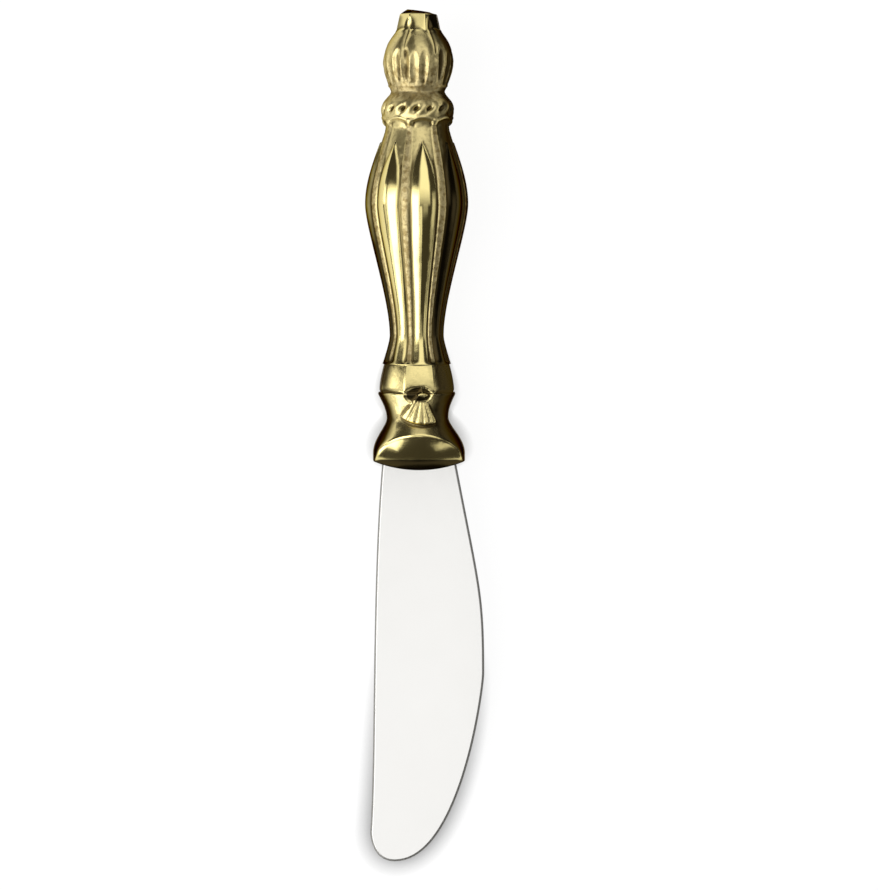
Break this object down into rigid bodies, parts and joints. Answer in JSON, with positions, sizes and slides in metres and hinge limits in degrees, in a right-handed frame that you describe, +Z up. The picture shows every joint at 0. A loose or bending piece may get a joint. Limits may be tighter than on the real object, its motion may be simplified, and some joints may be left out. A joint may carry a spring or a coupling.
{
  "type": "butter spreader",
  "caption": "Small spreading knife with a cast baluster handle of polished lobes and textured fillets and a blunt, bellied steel blade.",
  "frame": {"origin": "on the table under the middle of the spreader's bounding box, as it lies", "axes": "+Y along the spreader towards the cap of the handle, +X across the blade towards its spreading edge, +Z up from the table"},
  "size_m": [0.0212, 0.152, 0.0184],
  "materials": {
    "brass": "polished lobes and mouldings, matt cast fillets, darker in the recesses",
    "steel": "mirror polished",
    "resin": "hidden filler, matt"
  },
  "bodies": {
    "root": {"handle": "brass", "blade": "steel", "tang_cement": "resin"}
  },
  "joints": []
}
